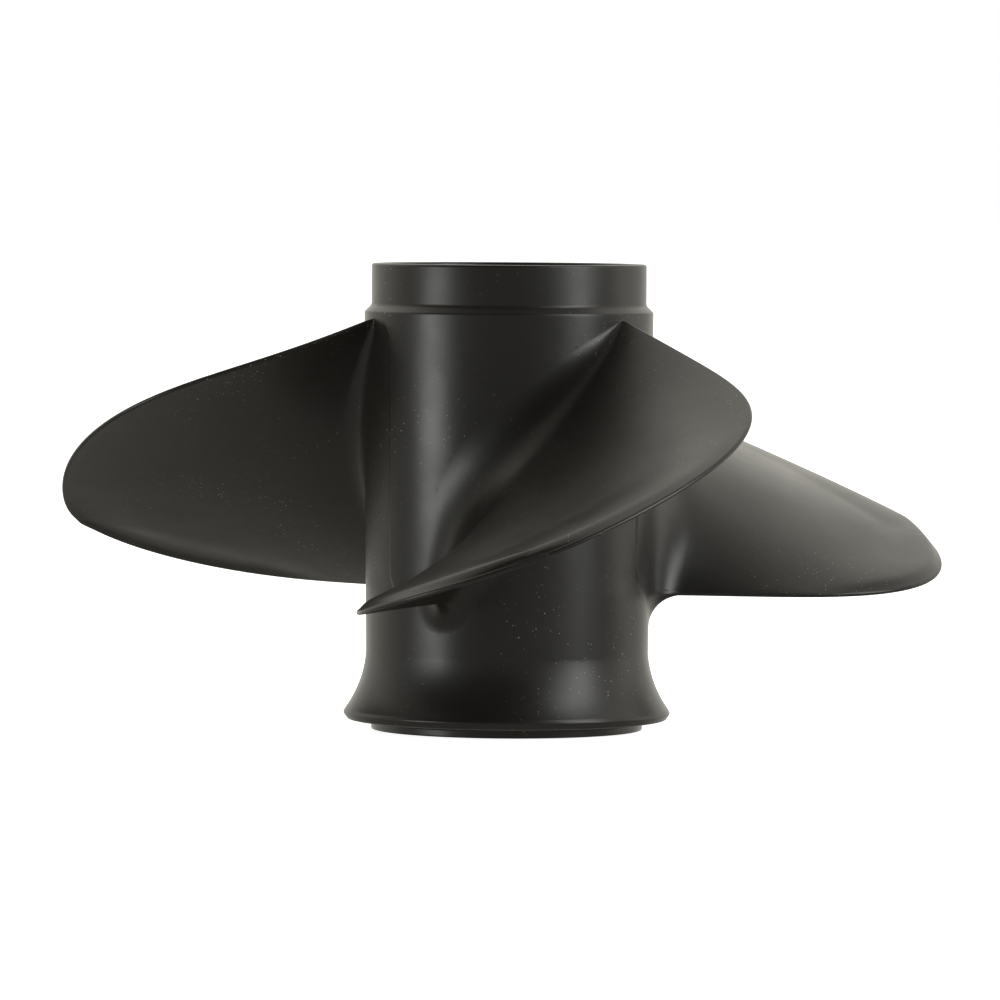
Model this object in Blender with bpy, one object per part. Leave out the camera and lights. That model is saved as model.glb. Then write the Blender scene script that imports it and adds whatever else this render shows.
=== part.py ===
"""A three-blade outboard propeller with through-hub exhaust, its keyed rubber drive hub and its fasteners.

Metres, +Z forward (the engine side), origin on the shaft axis at the aft end plane. The front blade
points along -Y. Angles on a blade are measured from its own middle direction, anticlockwise seen
from +Z, so a right-hand propeller climbs towards +Z as the angle grows.
"""

import math

import bmesh
import bpy

# Overall sizes
DIAMETER = 0.4064
BLADES = 3
LENGTH = 0.1915
GAP = 0.0003

# Exhaust barrel
RIM_RADIUS = 0.0565
RIM_BOTTOM = 0.1745
SHOULDER_RADIUS = 0.0594
SHOULDER_TOP = 0.1717
WAIST_RADIUS = 0.0581
FLARE_TOP = 0.0315
FLARE_SLOPE = 0.07
FLARE_ARC = 0.0425
FLARE_RADIUS = 0.0672
LIP_RADIUS = 0.0558
LIP_HEIGHT = 0.0031
BORE_RADIUS = 0.0526
BARREL_SIDES = 64

# Inner hub and ribs
HUB_RADIUS = 0.0360
HUB_FRONT = 0.1760
HUB_AFT = 0.0640
HUB_SEAT = 0.0780
HUB_SOCKET_RADIUS = 0.0290
HUB_SEAT_BORE = 0.0215
RIB_THICKNESS = 0.0070
RIB_ANGLES = (30.0, 150.0, 270.0)
HUB_SIDES = 48

# Blades: an outline in angle against span, laid on a helix whose pitch falls towards the tip
BLADE_FOOT = 0.0604
BLADE_BURIED = 0.0555
TIP_MIDDLE_ANGLE = 3.2
FOOT_MIDDLE_ANGLE = 18.5
LEADING_SPREAD = 20.8
TIP_BLUNTNESS = 12.0
TRAILING_SPREAD = 42.2
FOOT_PITCH = 0.5460
TIP_PITCH = 0.4524
HELIX_START = 0.0909
RAKE_LINEAR = 0.0182
RAKE_CURVED = 0.0847
FOOT_THICKNESS = 0.0115
TIP_THICKNESS = 0.0034
EDGE_THICKNESS = 0.0022
FORWARD_FILLET = 0.0180
AFT_FILLET = 0.0130
FILLET_SINK = 0.0015
SPAN_STEPS = 20
CHORD_STEPS = 12

# Drive hub and shaft fasteners
KEYS = 4
KEY_WIDTH = 0.0100
KEY_HEIGHT = 0.0026
HOUSING_WALL = 0.0026
HOUSING_AFT = HUB_SEAT + GAP
HOUSING_FRONT = 0.1660
SLEEVE_RADIUS = 0.0190
SLEEVE_FRONT = 0.1676
SLEEVE_AFT = 0.0720
SPLINES = 15
SPLINE_ROOT = 0.0158
SPLINE_TIP = 0.0143
THRUST_RADIUS = 0.0262
THRUST_NOSE_RADIUS = 0.0212
THRUST_BORE = 0.0162
THRUST_FRONT = 0.1850
SPACER_RADIUS = 0.0195
SPACER_BORE = 0.0142
SPACER_LENGTH = 0.0150
WASHER_RADIUS = 0.0185
WASHER_BORE = 0.0100
WASHER_THICKNESS = 0.0030
NUT_ACROSS_FLATS = 0.0270
NUT_BORE = 0.0093
NUT_HEX_HEIGHT = 0.0140
CROWN_RADIUS = 0.0126
CROWN_HEIGHT = 0.0080
SLOT_WIDTH = 0.0046
PIN_RADIUS = 0.0017
PIN_HEAD_RADIUS = 0.0042


def material(name, colour, roughness, metallic):
    made = bpy.data.materials.new(name)
    made.use_nodes = True
    shader = made.node_tree.nodes["Principled BSDF"]
    shader.inputs["Base Color"].default_value = (*colour, 1.0)
    shader.inputs["Roughness"].default_value = roughness
    shader.inputs["Metallic"].default_value = metallic
    return made


def add_object(name, mesh_builder, made_of=None):
    """Puts a bmesh into the scene as one named object with outward faces."""
    bmesh.ops.remove_doubles(mesh_builder, verts=mesh_builder.verts, dist=1e-7)
    bmesh.ops.recalc_face_normals(mesh_builder, faces=mesh_builder.faces)
    mesh = bpy.data.meshes.new(name)
    mesh_builder.to_mesh(mesh)
    mesh_builder.free()
    mesh.shade_smooth()
    mesh.set_sharp_from_angle(angle=math.radians(35))
    made = bpy.data.objects.new(name, mesh)
    bpy.context.scene.collection.objects.link(made)
    if made_of:
        mesh.materials.append(made_of)
    return made


def turned(name, profile, sides, made_of=None):
    """Spins a closed outline of (radius, height) points about the shaft axis."""
    builder = bmesh.new()
    corners = [builder.verts.new((radius, 0.0, height)) for radius, height in profile]
    edges = [builder.edges.new((a, b)) for a, b in zip(corners, corners[1:] + corners[:1])]
    bmesh.ops.spin(
        builder,
        geom=corners + edges,
        cent=(0.0, 0.0, 0.0),
        axis=(0.0, 0.0, 1.0),
        angle=math.tau,
        steps=sides,
        use_merge=True,
    )
    return add_object(name, builder, made_of)


def prism(name, outline, bottom, top, made_of=None):
    """Extrudes a closed outline of (x, y) points from one height to another."""
    builder = bmesh.new()
    floor = builder.faces.new([builder.verts.new((x, y, bottom)) for x, y in outline])
    raised = bmesh.ops.extrude_face_region(builder, geom=[floor])["geom"]
    lifted = [item for item in raised if isinstance(item, bmesh.types.BMVert)]
    bmesh.ops.translate(builder, verts=lifted, vec=(0.0, 0.0, top - bottom))
    return add_object(name, builder, made_of)


def block(name, low, high, turn=0.0):
    """A box between two corners, turned about the shaft axis."""
    corners = [(low[0], low[1]), (high[0], low[1]), (high[0], high[1]), (low[0], high[1])]
    made = prism(name, corners, low[2], high[2])
    made.rotation_euler.z = turn
    return made


def combine(target, other, operation):
    """Joins or cuts one object with another, which then stays as a hidden helper."""
    step = target.modifiers.new(other.name, "BOOLEAN")
    step.operation = operation
    step.solver = "EXACT"
    step.object = other
    other.hide_render = True
    other.display_type = "WIRE"


def on_circle(radius, degrees):
    return radius * math.cos(math.radians(degrees)), radius * math.sin(math.radians(degrees))


def blade_outline(span):
    """Trailing and leading edge angles in degrees at a share of the span."""
    middle = FOOT_MIDDLE_ANGLE + (TIP_MIDDLE_ANGLE - FOOT_MIDDLE_ANGLE) * span**1.17
    leading = middle + LEADING_SPREAD * (1 - span**6.1) ** 2 + TIP_BLUNTNESS * (1 - span**8) ** 0.5
    trailing = middle - TRAILING_SPREAD * (1 - span**1.97) ** 0.5
    return trailing, leading


def fillet(radius, height, share, side):
    """How far a blade's face stands out next to the drafted barrel, so that it runs into it."""
    size = FORWARD_FILLET if side > 0 else AFT_FILLET
    draft = (SHOULDER_RADIUS - WAIST_RADIUS) / (SHOULDER_TOP - FLARE_TOP)
    barrel = WAIST_RADIUS + draft * (height - FLARE_TOP)
    away = min(max(radius - barrel + FILLET_SINK, 0.0), size)
    taper = min(1.0, 4.5 * (1 - share), 0.25 + 4 * share)
    return (size - math.sqrt(size**2 - (size - away) ** 2)) * max(taper, 0.25)


def blade_point(radius, share, side, blade_angle):
    """A point on one blade: share runs from trailing edge 0 to leading edge 1, side +1 is forward."""
    span = min(max((radius - BLADE_FOOT) / (DIAMETER / 2 - BLADE_FOOT), 0.0), 0.9995)
    trailing, leading = blade_outline(span)
    angle = trailing + (leading - trailing) * share
    pitch = TIP_PITCH + (FOOT_PITCH - TIP_PITCH) * (1 - span) ** 3
    reach = DIAMETER / 2 - BLADE_FOOT
    rake = (RAKE_LINEAR * span + RAKE_CURVED * span**2) * reach
    height = HELIX_START - rake + pitch * angle / 360
    thickest = TIP_THICKNESS + (FOOT_THICKNESS - TIP_THICKNESS) * (1 - span) ** 1.6
    bulge = (4 * share * (1 - share)) ** 0.6
    edge = EDGE_THICKNESS / 2 * min(1.0, (8 * share * (1 - share)) ** 0.5)
    offset = edge + (thickest - EDGE_THICKNESS) * bulge if side > 0 else -edge
    offset += side * fillet(radius, height, share, side)
    helix = math.atan2(pitch, math.tau * radius)
    turn = math.radians(blade_angle + angle) - offset * math.sin(helix) / radius
    return radius * math.cos(turn), radius * math.sin(turn), height + offset * math.cos(helix)


def blade(name, blade_angle):
    """A closed blade lofted from rings of points at growing radius."""
    builder = bmesh.new()
    rings = []
    for step in range(SPAN_STEPS + 1):
        eased = (1 - math.cos(math.pi * step / SPAN_STEPS)) / 2
        radius = BLADE_BURIED + (DIAMETER / 2 - 0.0002 - BLADE_BURIED) * eased
        shares = [(1 - math.cos(math.pi * i / CHORD_STEPS)) / 2 for i in range(CHORD_STEPS + 1)]
        around = [(share, 1) for share in shares] + [(share, -1) for share in shares[-2:0:-1]]
        ring = [builder.verts.new(blade_point(radius, *place, blade_angle)) for place in around]
        rings.append(ring)
    count = len(rings[0])
    for inner, outer in zip(rings, rings[1:]):
        for i in range(count):
            j = (i + 1) % count
            builder.faces.new((inner[i], inner[j], outer[j], outer[i]))
    for ring in (rings[0], rings[-1]):
        for i in range(CHORD_STEPS):
            corners = [ring[i], ring[i + 1], ring[-(i + 1)], ring[-i] if i else ring[0]]
            builder.faces.new(list(dict.fromkeys(corners)))
    return add_object(name, builder)


def barrel_profile():
    """The barrel's wall: stepped front rim, drafted body, flared aft end with a short lip."""
    corner = 0.0012
    flare = []
    for step in range(7):
        fall = step / 6 * (FLARE_TOP - 0.0083)
        spread = FLARE_SLOPE * fall + FLARE_ARC - math.sqrt(FLARE_ARC**2 - fall**2)
        flare.append((WAIST_RADIUS + spread, FLARE_TOP - fall))
    return [
        (BORE_RADIUS + corner, LENGTH),
        (RIM_RADIUS - corner, LENGTH),
        (RIM_RADIUS, LENGTH - corner),
        (RIM_RADIUS, RIM_BOTTOM),
        (SHOULDER_RADIUS - corner, SHOULDER_TOP),
        (SHOULDER_RADIUS, SHOULDER_TOP - corner),
        *flare,
        (FLARE_RADIUS, 0.0064),
        (FLARE_RADIUS - corner, 0.0048),
        (LIP_RADIUS, LIP_HEIGHT),
        (LIP_RADIUS, corner / 2),
        (LIP_RADIUS - corner / 2, 0.0),
        (BORE_RADIUS, 0.0),
        (BORE_RADIUS, LENGTH - corner),
    ]


def hub_profile():
    """The inner hub: an open socket for the drive hub, with a seat at its aft end."""
    return [
        (HUB_SOCKET_RADIUS, HUB_FRONT),
        (HUB_RADIUS, HUB_FRONT),
        (HUB_RADIUS, HUB_AFT),
        (HUB_SEAT_BORE, HUB_AFT),
        (HUB_SEAT_BORE, HUB_SEAT),
        (HUB_SOCKET_RADIUS, HUB_SEAT),
    ]


def make_casting(paint):
    """Barrel, blades, ribs and inner hub as the one casting that they are."""
    casting = turned("propeller_casting", barrel_profile(), BARREL_SIDES, paint)
    combine(casting, turned("inner_hub", hub_profile(), HUB_SIDES), "UNION")
    for index, angle in enumerate(RIB_ANGLES):
        low = (HUB_RADIUS - 0.002, -RIB_THICKNESS / 2, HUB_AFT + 0.004)
        high = (BORE_RADIUS + 0.002, RIB_THICKNESS / 2, HUB_FRONT - 0.006)
        combine(casting, block(f"rib_{index + 1}", low, high, math.radians(angle)), "UNION")
    for index in range(BLADES):
        angle = -90.0 + index * 360.0 / BLADES
        combine(casting, blade(f"blade_{index + 1}", angle), "UNION")
    for index in range(KEYS):
        low = (HUB_SOCKET_RADIUS - 0.003, -KEY_WIDTH / 2, HUB_SEAT)
        high = (HUB_SOCKET_RADIUS + KEY_HEIGHT, KEY_WIDTH / 2, HUB_FRONT + 0.01)
        turn = math.radians(45.0 + index * 360.0 / KEYS)
        combine(casting, block(f"keyway_{index + 1}", low, high, turn), "DIFFERENCE")
    return casting


def make_housing(shell):
    """The drive hub's keyed outer shell."""
    outer = HUB_SOCKET_RADIUS - GAP
    inner = outer - HOUSING_WALL
    profile = [(inner, HOUSING_FRONT), (outer, HOUSING_FRONT), (outer, HOUSING_AFT), (inner, HOUSING_AFT)]
    housing = turned("hub_housing", profile, HUB_SIDES, shell)
    for index in range(KEYS):
        low = (outer - HOUSING_WALL / 2, GAP - KEY_WIDTH / 2, HOUSING_AFT)
        high = (outer + KEY_HEIGHT, KEY_WIDTH / 2 - GAP, HOUSING_FRONT - 0.001)
        turn = math.radians(45.0 + index * 360.0 / KEYS)
        combine(housing, block(f"key_{index + 1}", low, high, turn), "UNION")
    return housing


def make_cushion(rubber):
    """The rubber ring between the housing and the splined sleeve, hollowed a little at each end."""
    outer = HUB_SOCKET_RADIUS - GAP - HOUSING_WALL - GAP
    inner = SLEEVE_RADIUS + GAP
    middle = (outer + inner) / 2
    front = HOUSING_FRONT - 0.002
    aft = HOUSING_AFT + 0.002
    profile = [
        (inner, front),
        (middle, front - 0.002),
        (outer, front),
        (outer, aft),
        (middle, aft + 0.002),
        (inner, aft),
    ]
    return turned("rubber_cushion", profile, HUB_SIDES, rubber)


def make_sleeve(brass):
    """The splined sleeve: a round outside and straight internal splines."""
    sleeve = turned(
        "splined_sleeve",
        [
            (0.010, SLEEVE_FRONT),
            (SLEEVE_RADIUS, SLEEVE_FRONT),
            (SLEEVE_RADIUS, SLEEVE_AFT),
            (0.010, SLEEVE_AFT),
        ],
        HUB_SIDES,
        brass,
    )
    outline = []
    pitch = 360.0 / SPLINES
    for index in range(SPLINES):
        for share, radius in ((0.05, SPLINE_ROOT), (0.45, SPLINE_ROOT), (0.55, SPLINE_TIP), (0.95, SPLINE_TIP)):
            outline.append(on_circle(radius, (index + share) * pitch))
    combine(sleeve, prism("spline_broach", outline, SLEEVE_AFT - 0.01, SLEEVE_FRONT + 0.01), "DIFFERENCE")
    return sleeve


def make_thrust_washer(brass):
    """The tapered collar in front of the sleeve, whose nose bears on the shaft's shoulder."""
    back = SLEEVE_FRONT + GAP
    profile = [
        (THRUST_BORE, THRUST_FRONT),
        (THRUST_NOSE_RADIUS, THRUST_FRONT),
        (THRUST_RADIUS, back + 0.006),
        (THRUST_RADIUS, back),
        (THRUST_BORE, back),
    ]
    return turned("forward_thrust_washer", profile, HUB_SIDES, brass)


def make_spacer(brass):
    """The collar behind the sleeve."""
    top = SLEEVE_AFT - GAP
    profile = [
        (SPACER_BORE, top),
        (SPACER_RADIUS, top),
        (SPACER_RADIUS, top - SPACER_LENGTH + 0.001),
        (SPACER_RADIUS - 0.001, top - SPACER_LENGTH),
        (SPACER_BORE, top - SPACER_LENGTH),
    ]
    return turned("aft_spacer", profile, HUB_SIDES, brass)


def make_washer(steel, top):
    profile = [
        (WASHER_BORE, top),
        (WASHER_RADIUS, top),
        (WASHER_RADIUS, top - WASHER_THICKNESS),
        (WASHER_BORE, top - WASHER_THICKNESS),
    ]
    return turned("plain_washer", profile, HUB_SIDES, steel)


def make_nut(steel, top):
    """A castle nut: hexagon, round slotted crown on the aft side, and the threaded bore's clearance."""
    corner_radius = NUT_ACROSS_FLATS / math.sqrt(3)
    hexagon = [on_circle(corner_radius, 60.0 * side) for side in range(6)]
    nut = prism("castle_nut", hexagon, top - NUT_HEX_HEIGHT, top, steel)
    crown_bottom = top - NUT_HEX_HEIGHT - CROWN_HEIGHT
    crown = prism("nut_crown", [on_circle(CROWN_RADIUS, 10.0 * i) for i in range(36)], crown_bottom, top - 0.004)
    combine(nut, crown, "UNION")
    bore = prism("nut_bore", [on_circle(NUT_BORE, 10.0 * i) for i in range(36)], crown_bottom - 0.01, top + 0.01)
    combine(nut, bore, "DIFFERENCE")
    for index in range(3):
        low = (-0.03, -SLOT_WIDTH / 2, crown_bottom - 0.01)
        high = (0.03, SLOT_WIDTH / 2, crown_bottom + 0.0058)
        slot = block(f"nut_slot_{index + 1}", low, high, math.radians(60.0 * index))
        combine(nut, slot, "DIFFERENCE")
    return nut


def make_cotter_pin(steel, height):
    """The split pin: a round shank through the slots, an eye at one end and a bent leg at the other."""
    reach = CROWN_RADIUS + 0.0012
    route = [(-reach - 0.0015, 0.0, 0.0), (reach, 0.0, 0.0)]
    route += [(reach + 0.0022, 0.0012, 0.0), (reach + 0.0026, 0.0048, 0.0), (reach + 0.0010, 0.0092, 0.0)]
    shape = bpy.data.curves.new("cotter_pin", "CURVE")
    shape.dimensions = "3D"
    shape.bevel_depth = PIN_RADIUS
    shape.bevel_resolution = 2
    shape.use_fill_caps = True
    line = shape.splines.new("POLY")
    line.points.add(len(route) - 1)
    for point, place in zip(line.points, route):
        point.co = (place[0], place[1], height + place[2], 1.0)
    leg = bpy.data.objects.new("cotter_leg", shape)
    bpy.context.scene.collection.objects.link(leg)
    graph = bpy.context.evaluated_depsgraph_get()
    mesh = bpy.data.meshes.new_from_object(leg.evaluated_get(graph))
    bpy.data.objects.remove(leg)
    builder = bmesh.new()
    builder.from_mesh(mesh)
    pin = add_object("cotter_pin", builder, steel)
    builder = bmesh.new()
    bmesh.ops.create_cone(
        builder,
        cap_ends=True,
        segments=16,
        radius1=PIN_HEAD_RADIUS,
        radius2=PIN_HEAD_RADIUS,
        depth=2 * PIN_RADIUS - 0.0004,
    )
    bmesh.ops.translate(builder, verts=builder.verts, vec=(-reach - PIN_HEAD_RADIUS, 0.0, height))
    combine(pin, add_object("pin_eye", builder), "UNION")
    builder = bmesh.new()
    bmesh.ops.create_cone(builder, cap_ends=True, segments=12, radius1=0.0018, radius2=0.0018, depth=0.02)
    bmesh.ops.translate(builder, verts=builder.verts, vec=(-reach - PIN_HEAD_RADIUS, 0.0, height))
    combine(pin, add_object("pin_eye_hole", builder), "DIFFERENCE")
    return pin


def main():
    for old in list(bpy.data.objects):
        bpy.data.objects.remove(old)
    paint = material("black_paint", (0.020, 0.019, 0.018), 0.38, 0.0)
    shell = material("housing_alloy", (0.55, 0.55, 0.56), 0.45, 1.0)
    rubber = material("rubber", (0.03, 0.03, 0.03), 0.8, 0.0)
    brass = material("brass", (0.62, 0.47, 0.22), 0.35, 1.0)
    steel = material("stainless_steel", (0.62, 0.62, 0.60), 0.30, 1.0)
    make_casting(paint)
    make_housing(shell)
    make_cushion(rubber)
    make_sleeve(brass)
    make_thrust_washer(brass)
    make_spacer(brass)
    washer_top = SLEEVE_AFT - GAP - SPACER_LENGTH - GAP
    make_washer(steel, washer_top)
    nut_top = washer_top - WASHER_THICKNESS - GAP
    make_nut(steel, nut_top)
    slot_floor = nut_top - NUT_HEX_HEIGHT - CROWN_HEIGHT + 0.0058
    make_cotter_pin(steel, slot_floor - GAP - PIN_RADIUS - 0.0002)


main()
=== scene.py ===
"""Looks of the outboard propeller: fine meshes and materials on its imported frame, in a white studio.

All lengths are in metres and +Z is the shaft axis, towards the engine.
"""

import math

import bmesh
import bpy
import numpy as np
from mathutils import Matrix, Vector, geometry


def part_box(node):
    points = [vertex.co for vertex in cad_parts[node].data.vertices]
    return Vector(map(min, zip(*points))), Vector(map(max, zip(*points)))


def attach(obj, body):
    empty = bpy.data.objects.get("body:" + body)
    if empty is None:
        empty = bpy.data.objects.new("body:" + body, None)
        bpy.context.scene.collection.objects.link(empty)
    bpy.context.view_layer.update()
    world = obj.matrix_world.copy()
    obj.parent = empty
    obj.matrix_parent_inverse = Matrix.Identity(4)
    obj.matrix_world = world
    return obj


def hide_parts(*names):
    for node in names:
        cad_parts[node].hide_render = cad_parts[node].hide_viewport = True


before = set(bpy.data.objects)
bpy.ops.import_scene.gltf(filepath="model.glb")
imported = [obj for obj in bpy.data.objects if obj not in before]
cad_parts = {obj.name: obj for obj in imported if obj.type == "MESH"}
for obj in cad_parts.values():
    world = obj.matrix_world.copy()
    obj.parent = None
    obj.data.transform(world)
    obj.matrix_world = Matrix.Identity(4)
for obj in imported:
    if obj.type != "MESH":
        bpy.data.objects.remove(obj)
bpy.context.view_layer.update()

# Barrel, as the frame's casting has it
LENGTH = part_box("propeller_casting")[1][2]
RIM_RADIUS = 0.0565
RIM_BOTTOM = 0.1745
SHOULDER_RADIUS = 0.0594
SHOULDER_TOP = 0.1717
WAIST_RADIUS = 0.0581
FLARE_TOP = 0.0315
FLARE_SLOPE = 0.07
FLARE_ARC = 0.0425
FLARE_END = 0.0083
FLARE_RADIUS = 0.0672
LIP_RADIUS = 0.0558
LIP_HEIGHT = 0.0031
BORE_RADIUS = 0.0526
BODY_TOP = 0.1705
BODY_BOTTOM = 0.0320
DRAFT = (SHOULDER_RADIUS - WAIST_RADIUS) / (BODY_TOP - FLARE_TOP)

# Inner hub and ribs
HUB_RADIUS = 0.0360
HUB_FRONT = 0.1760
HUB_AFT = 0.0640
HUB_SEAT = 0.0780
SOCKET_RADIUS = 0.0290
SEAT_BORE = 0.0215
RIB_HALF = 0.0035
RIB_FILLET = 0.0040
WEB_OVERLAP = 0.0010
PASSAGE_ANGLES = (90.0, 210.0, 330.0)
KEYS = 4
FIRST_KEY_ANGLE = 45.0
KEY_WIDTH = 0.0100
KEY_HEIGHT = 0.0026

# Drive hub, collars and fasteners
GAP = 0.0003
HOUSING_WALL = 0.0026
HOUSING_AFT = HUB_SEAT + GAP
HOUSING_FRONT = 0.1660
CUSHION_SETBACK = 0.0020
CUSHION_DISH = 0.0020
SLEEVE_RADIUS = 0.0190
SLEEVE_FRONT = 0.1676
SLEEVE_AFT = 0.0720
SLEEVE_BLANK_BORE = 0.0100
SPLINES = 15
SPLINE_ROOT = 0.0158
SPLINE_TIP = 0.0143
THRUST_RADIUS = 0.0262
THRUST_NOSE_RADIUS = 0.0212
THRUST_BORE = 0.0162
THRUST_FRONT = 0.1850
THRUST_STRAIGHT = 0.0060
GROOVE_OFFSET = 0.0030
GROOVE_HALF = 0.0006
SPACER_RADIUS = 0.0195
SPACER_BORE = 0.0142
SPACER_TOP = SLEEVE_AFT - GAP
SPACER_LENGTH = 0.0150
SPACER_BOTTOM = SPACER_TOP - SPACER_LENGTH
WASHER_RADIUS = 0.0185
WASHER_BORE = 0.0100
WASHER_TOP = SPACER_BOTTOM - GAP
WASHER_THICKNESS = 0.0030
WASHER_BOTTOM = WASHER_TOP - WASHER_THICKNESS
NUT_TOP = WASHER_BOTTOM - GAP
NUT_ACROSS_FLATS = 0.0270
NUT_BORE = 0.0093
NUT_HEX_HEIGHT = 0.0140
NUT_FACE_INSET = 0.0003
NUT_CHAMFER_ANGLE = 30.0
THREAD_PITCH = 0.0016
THREAD_DEPTH = 0.0008
CROWN_RADIUS = 0.0126
CROWN_HEIGHT = 0.0080
CROWN_BOTTOM = NUT_TOP - NUT_HEX_HEIGHT - CROWN_HEIGHT
SLOTS_ACROSS = 3
SLOT_WIDTH = 0.0046
SLOT_DEPTH = 0.0058
PIN_RADIUS = 0.0017
PIN_EYE_RADIUS = 0.0042
PIN_NECK = 0.0045
PIN_SPLIT = 0.00003
PIN_SLACK = 0.0002
PIN_HEIGHT = CROWN_BOTTOM + SLOT_DEPTH - GAP - PIN_RADIUS - PIN_SLACK

# How far a cutter runs past what it cuts: along the shaft, and at a turned end
CUT_CLEAR = 0.0100
TURN_CLEAR = 0.0020

# Blades; angles are in degrees from -Y towards +X
BLADES = 3
BLADE_STEP = 360.0 / BLADES
TIP_RADIUS = 0.2030
BLADE_FOOT = 0.0604
TIP_MIDDLE_ANGLE = 3.2
FOOT_MIDDLE_ANGLE = 18.5
MIDDLE_POWER = 1.17
LEADING_SPREAD = 20.8
LEADING_POWER = 6.1
TIP_BLUNTNESS = 12.0
BLUNTNESS_POWER = 8
TRAILING_SPREAD = 42.2
TRAILING_POWER = 1.97
FOOT_PITCH = 0.5460
TIP_PITCH = 0.4524
HELIX_START = 0.0909
RAKE_LINEAR = 0.0182
RAKE_CURVED = 0.0847
FOOT_THICKNESS = 0.0115
TIP_THICKNESS = 0.0034
THINNING_POWER = 1.6
CROWN_LIMIT = 0.06
CROWN_POWER = 0.9
EDGE_HALF = 0.0010
CUP_DEPTH = 0.0016
CUP_WIDTH = 0.0060
CUP_FADE_WIDTH = 0.0360
CUP_SPANS = (0.45, 0.75)
CUP_END_ANGLES = (-6.0, 40.0)
FORWARD_FILLET = 0.0230
AFT_FILLET = 0.0140
TRAILING_FILLET = 0.0150
LEADING_FILLET = 0.0009
FILLET_START = 0.62
FILLET_GROWTH = 0.30
FILLET_TAPER = 0.60

# The mould's parting step on the barrel, from a leading edge's foot to the next trailing edge's
PART_DEPTH = 0.0006
PART_HALF_WIDTH = 0.0006
PART_RUN_OUT = (0.0080, 0.0300)
PART_ANGLE = 64.6
PART_TOP = (0.1580, 0.1695)
PART_TOP_SWEEP = 11.1
PART_FOOT = (0.0540, 0.0670)
PART_FOOT_SWEEP = 9.4
PART_TOP_FADE = (0.35, 0.85)
PART_FOOT_FADE = (0.20, 1.00)

# Dust on the paint; its radius is in cells
DUST_SCALE = 850.0
DUST_THRESHOLD = 0.48
DUST_RADIUS = 0.18
DUST_COLOUR = (0.38, 0.32, 0.23)

# Studio
FLOOR_GAP = 0.0004
LIGHT_DISTANCE = 1.6
ROOM_TINT = (1.0, 0.975, 0.88)
CAMERA_LENS = 262.8
CAMERA_PLACE = (0.0, -3.001, 0.2255)
CAMERA_PITCH = 90.0 - 2.505
CAMERA_YAW = -0.062
CAMERA_ROLL = 0.35

# Limits that keep small shapes sound: of corners, and of a blade's edges as shares of its chord
NEARLY_STRAIGHT = math.radians(89.0)
CORNER_REACH = 0.48
SPAN_END = 0.999999
EDGE_SHARE = 0.2
CAP_SHARE = 0.4

# Mesh fineness
FACE_POINTS = 44
CAP_POINTS = 8
FILLET_RINGS = 12
FILLET_ROUNDS = 12
FIRST_HEIGHT = 0.1
BLADE_RINGS = 90
TIP_CROWDING = 2.2
TIP_MARGIN = 2e-6
SECTOR_START = -66.0
SECTOR_FINE_WIDTH = 20.0
SECTOR_FINE = 52
SECTOR_COARSE = 70
ROW_HEIGHT = 0.00125
UNROLL_RADIUS = 0.0585
MILLIMETRES = 1000.0
FOOT_CLEARANCE = 0.6
FLARE_STEPS = 24
PASSAGE_STEPS = 28
SMOOTH_ANGLE = 35.0
CASTING_SMOOTH_ANGLE = 40.0
NUT_SMOOTH_ANGLE = 25.0
PIN_SMOOTH_ANGLE = 50.0
PIN_SIDES = 8
PIN_EYE_STEPS = 12


# ---------------------------------------------------------------- mesh helpers

def smooth(mesh, angle=SMOOTH_ANGLE):
    """Smooth shading, except at edges sharper than the angle."""
    mesh.shade_smooth()
    mesh.set_sharp_from_angle(angle=math.radians(angle))


def link(name, contents):
    """Puts a mesh, light or camera into the scene as an object."""
    made = bpy.data.objects.new(name, contents)
    bpy.context.scene.collection.objects.link(made)
    return made


def from_builder(name, builder, angle=SMOOTH_ANGLE):
    """Turns a finished bmesh into an object with clean normals."""
    bmesh.ops.remove_doubles(builder, verts=builder.verts, dist=1e-6)
    bmesh.ops.recalc_face_normals(builder, faces=builder.faces)
    mesh = bpy.data.meshes.new(name)
    builder.to_mesh(mesh)
    builder.free()
    smooth(mesh, angle)
    return link(name, mesh)


def turned(name, profile, sides=128):
    """Spins a closed outline of (radius, height) points about the shaft axis."""
    builder = bmesh.new()
    corners = [builder.verts.new((radius, 0.0, height)) for radius, height in profile]
    edges = [builder.edges.new((a, b)) for a, b in zip(corners, corners[1:] + corners[:1])]
    bmesh.ops.spin(
        builder,
        geom=corners + edges,
        cent=(0.0, 0.0, 0.0),
        axis=(0.0, 0.0, 1.0),
        angle=math.tau,
        steps=sides,
        use_merge=True,
    )
    return from_builder(name, builder)


def corner_curve(start, corner, end, steps):
    """Points of a curve that leaves start and reaches end, drawn towards the corner."""
    points = []
    for step in range(steps + 1):
        t = step / steps
        points.append(tuple(start * (1 - t) ** 2 + corner * 2 * t * (1 - t) + end * t**2))
    return points


def rounded(profile, radius, steps=5):
    """The same closed outline with its corners rounded; radius is one number or one per corner."""
    radii = radius if isinstance(radius, (list, tuple)) else [radius] * len(profile)
    points = [Vector(point) for point in profile]
    made = []
    for i, corner in enumerate(points):
        before = points[i - 1] - corner
        after = points[(i + 1) % len(points)] - corner
        half = before.angle(after) / 2
        if radii[i] <= 0 or half > NEARLY_STRAIGHT:
            made.append(tuple(profile[i]))
            continue
        longest = CORNER_REACH * min(before.length, after.length)
        reach = min(radii[i] / math.tan(half), longest)
        start = corner + before.normalized() * reach
        end = corner + after.normalized() * reach
        made += corner_curve(start, corner, end, steps)
    return made


def bridge(builder, rings):
    """Joins each closed ring of vertices to the next one."""
    count = len(rings[0])
    for first, second in zip(rings, rings[1:]):
        for i in range(count):
            j = (i + 1) % count
            builder.faces.new((first[i], first[j], second[j], second[i]))


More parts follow.
